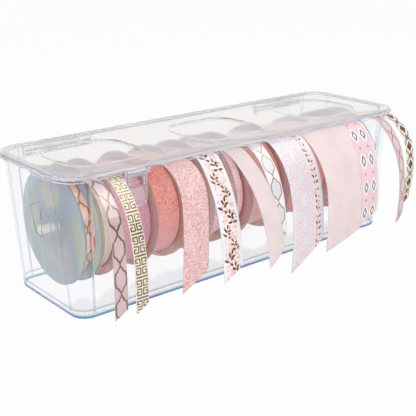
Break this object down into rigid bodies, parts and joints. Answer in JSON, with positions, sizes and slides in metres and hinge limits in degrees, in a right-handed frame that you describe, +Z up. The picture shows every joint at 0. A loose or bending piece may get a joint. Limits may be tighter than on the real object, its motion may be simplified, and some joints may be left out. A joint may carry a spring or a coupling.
{
  "type": "ribbon dispenser box",
  "caption": "Clear hinged case with a front slot and a latch: ribbon spools turn on a rod inside and their ends hang out of the slot.",
  "frame": {"origin": "middle of the underside of the tub", "axes": "+X along the rod to the right, -Y towards the front slot, +Z up"},
  "size_m": [0.3298, 0.1473, 0.1034],
  "materials": {
    "clear_plastic": "clear moulded polystyrene",
    "reel_plastic": "clear pearly moulding",
    "rod_plastic": "satin extrusion",
    "pin_steel": "drawn wire",
    "ribbon_01": "woven ribbon, dusty pink lattice",
    "ribbon_02": "woven ribbon, gold key",
    "ribbon_03": "woven ribbon, pink scroll",
    "ribbon_04": "woven ribbon, pink glitter",
    "ribbon_05": "woven ribbon, leaf sprig",
    "ribbon_06": "woven ribbon, pale pink satin",
    "ribbon_07": "woven ribbon, white lattice",
    "ribbon_08": "woven ribbon, wide scroll",
    "ribbon_09": "woven ribbon, wide pale pink",
    "ribbon_10": "woven ribbon, diamond",
    "ribbon_11": "woven ribbon, narrow pink lattice",
    "ribbon_12": "woven ribbon, brown argyle"
  },
  "bodies": {
    "case": {"tub": "clear_plastic", "end_plate_left": "clear_plastic", "end_plate_right": "clear_plastic", "hinge_pin_left": "pin_steel", "hinge_pin_right": "pin_steel", "tail_01": "ribbon_01", "tail_02": "ribbon_02", "tail_04": "ribbon_04", "tail_05": "ribbon_05", "tail_06": "ribbon_06", "tail_07": "ribbon_07", "tail_08": "ribbon_08", "tail_09": "ribbon_09", "tail_10": "ribbon_10", "tail_11": "ribbon_11", "tail_12": "ribbon_12"},
    "lid": {"lid": "clear_plastic", "latch_pin": "pin_steel"},
    "latch": {"latch": "clear_plastic"},
    "rod": {"spool_rod": "rod_plastic"},
    "spool_01": {"reel_01": "reel_plastic", "roll_01": "ribbon_01"},
    "spool_02": {"reel_02": "reel_plastic", "roll_02": "ribbon_02"},
    "spool_03": {"reel_03": "reel_plastic", "roll_03": "ribbon_03"},
    "spool_04": {"reel_04": "reel_plastic", "roll_04": "ribbon_04"},
    "spool_05": {"reel_05": "reel_plastic", "roll_05": "ribbon_05"},
    "spool_06": {"reel_06": "reel_plastic", "roll_06": "ribbon_06"},
    "spool_07": {"reel_07": "reel_plastic", "roll_07": "ribbon_07"},
    "spool_08": {"reel_08": "reel_plastic", "roll_08": "ribbon_08"},
    "spool_09": {"reel_09": "reel_plastic", "roll_09": "ribbon_09"},
    "spool_10": {"reel_10": "reel_plastic", "roll_10": "ribbon_10"},
    "spool_11": {"reel_11": "reel_plastic", "roll_11": "ribbon_11"},
    "spool_12": {"reel_12": "reel_plastic", "roll_12": "ribbon_12"}
  },
  "joints": [
    {"name": "lid_hinge", "type": "hinge", "parent": "case", "child": "lid", "pos_m": [0, 0.0465, 0.0973], "axis": [-1, 0, 0], "range_deg": [0, 105]},
    {"name": "latch_pivot", "type": "hinge", "parent": "lid", "child": "latch", "pos_m": [-0.108, -0.049, 0.0982], "axis": [-1, 0, 0], "range_deg": [0, 110]},
    {"name": "rod_spin", "type": "hinge", "parent": "case", "child": "rod", "pos_m": [0, 0, 0.055], "axis": [1, 0, 0], "continuous": true},
    {"name": "spool_01_spin", "type": "hinge", "parent": "rod", "child": "spool_01", "pos_m": [-0.1385, 0, 0.055], "axis": [1, 0, 0], "continuous": true},
    {"name": "spool_02_spin", "type": "hinge", "parent": "rod", "child": "spool_02", "pos_m": [-0.1248, 0, 0.055], "axis": [1, 0, 0], "continuous": true},
    {"name": "spool_03_spin", "type": "hinge", "parent": "rod", "child": "spool_03", "pos_m": [-0.1026, 0, 0.055], "axis": [1, 0, 0], "continuous": true},
    {"name": "spool_04_spin", "type": "hinge", "parent": "rod", "child": "spool_04", "pos_m": [-0.0744, 0, 0.055], "axis": [1, 0, 0], "continuous": true},
    {"name": "spool_05_spin", "type": "hinge", "parent": "rod", "child": "spool_05", "pos_m": [-0.0487, 0, 0.055], "axis": [1, 0, 0], "continuous": true},
    {"name": "spool_06_spin", "type": "hinge", "parent": "rod", "child": "spool_06", "pos_m": [-0.026, 0, 0.055], "axis": [1, 0, 0], "continuous": true},
    {"name": "spool_07_spin", "type": "hinge", "parent": "rod", "child": "spool_07", "pos_m": [-0.0063, 0, 0.055], "axis": [1, 0, 0], "continuous": true},
    {"name": "spool_08_spin", "type": "hinge", "parent": "rod", "child": "spool_08", "pos_m": [0.0212, 0, 0.055], "axis": [1, 0, 0], "continuous": true},
    {"name": "spool_09_spin", "type": "hinge", "parent": "rod", "child": "spool_09", "pos_m": [0.0647, 0, 0.055], "axis": [1, 0, 0], "continuous": true},
    {"name": "spool_10_spin", "type": "hinge", "parent": "rod", "child": "spool_10", "pos_m": [0.1037, 0, 0.055], "axis": [1, 0, 0], "continuous": true},
    {"name": "spool_11_spin", "type": "hinge", "parent": "rod", "child": "spool_11", "pos_m": [0.1257, 0, 0.055], "axis": [1, 0, 0], "continuous": true},
    {"name": "spool_12_spin", "type": "hinge", "parent": "rod", "child": "spool_12", "pos_m": [0.1402, 0, 0.055], "axis": [1, 0, 0], "continuous": true}
  ]
}
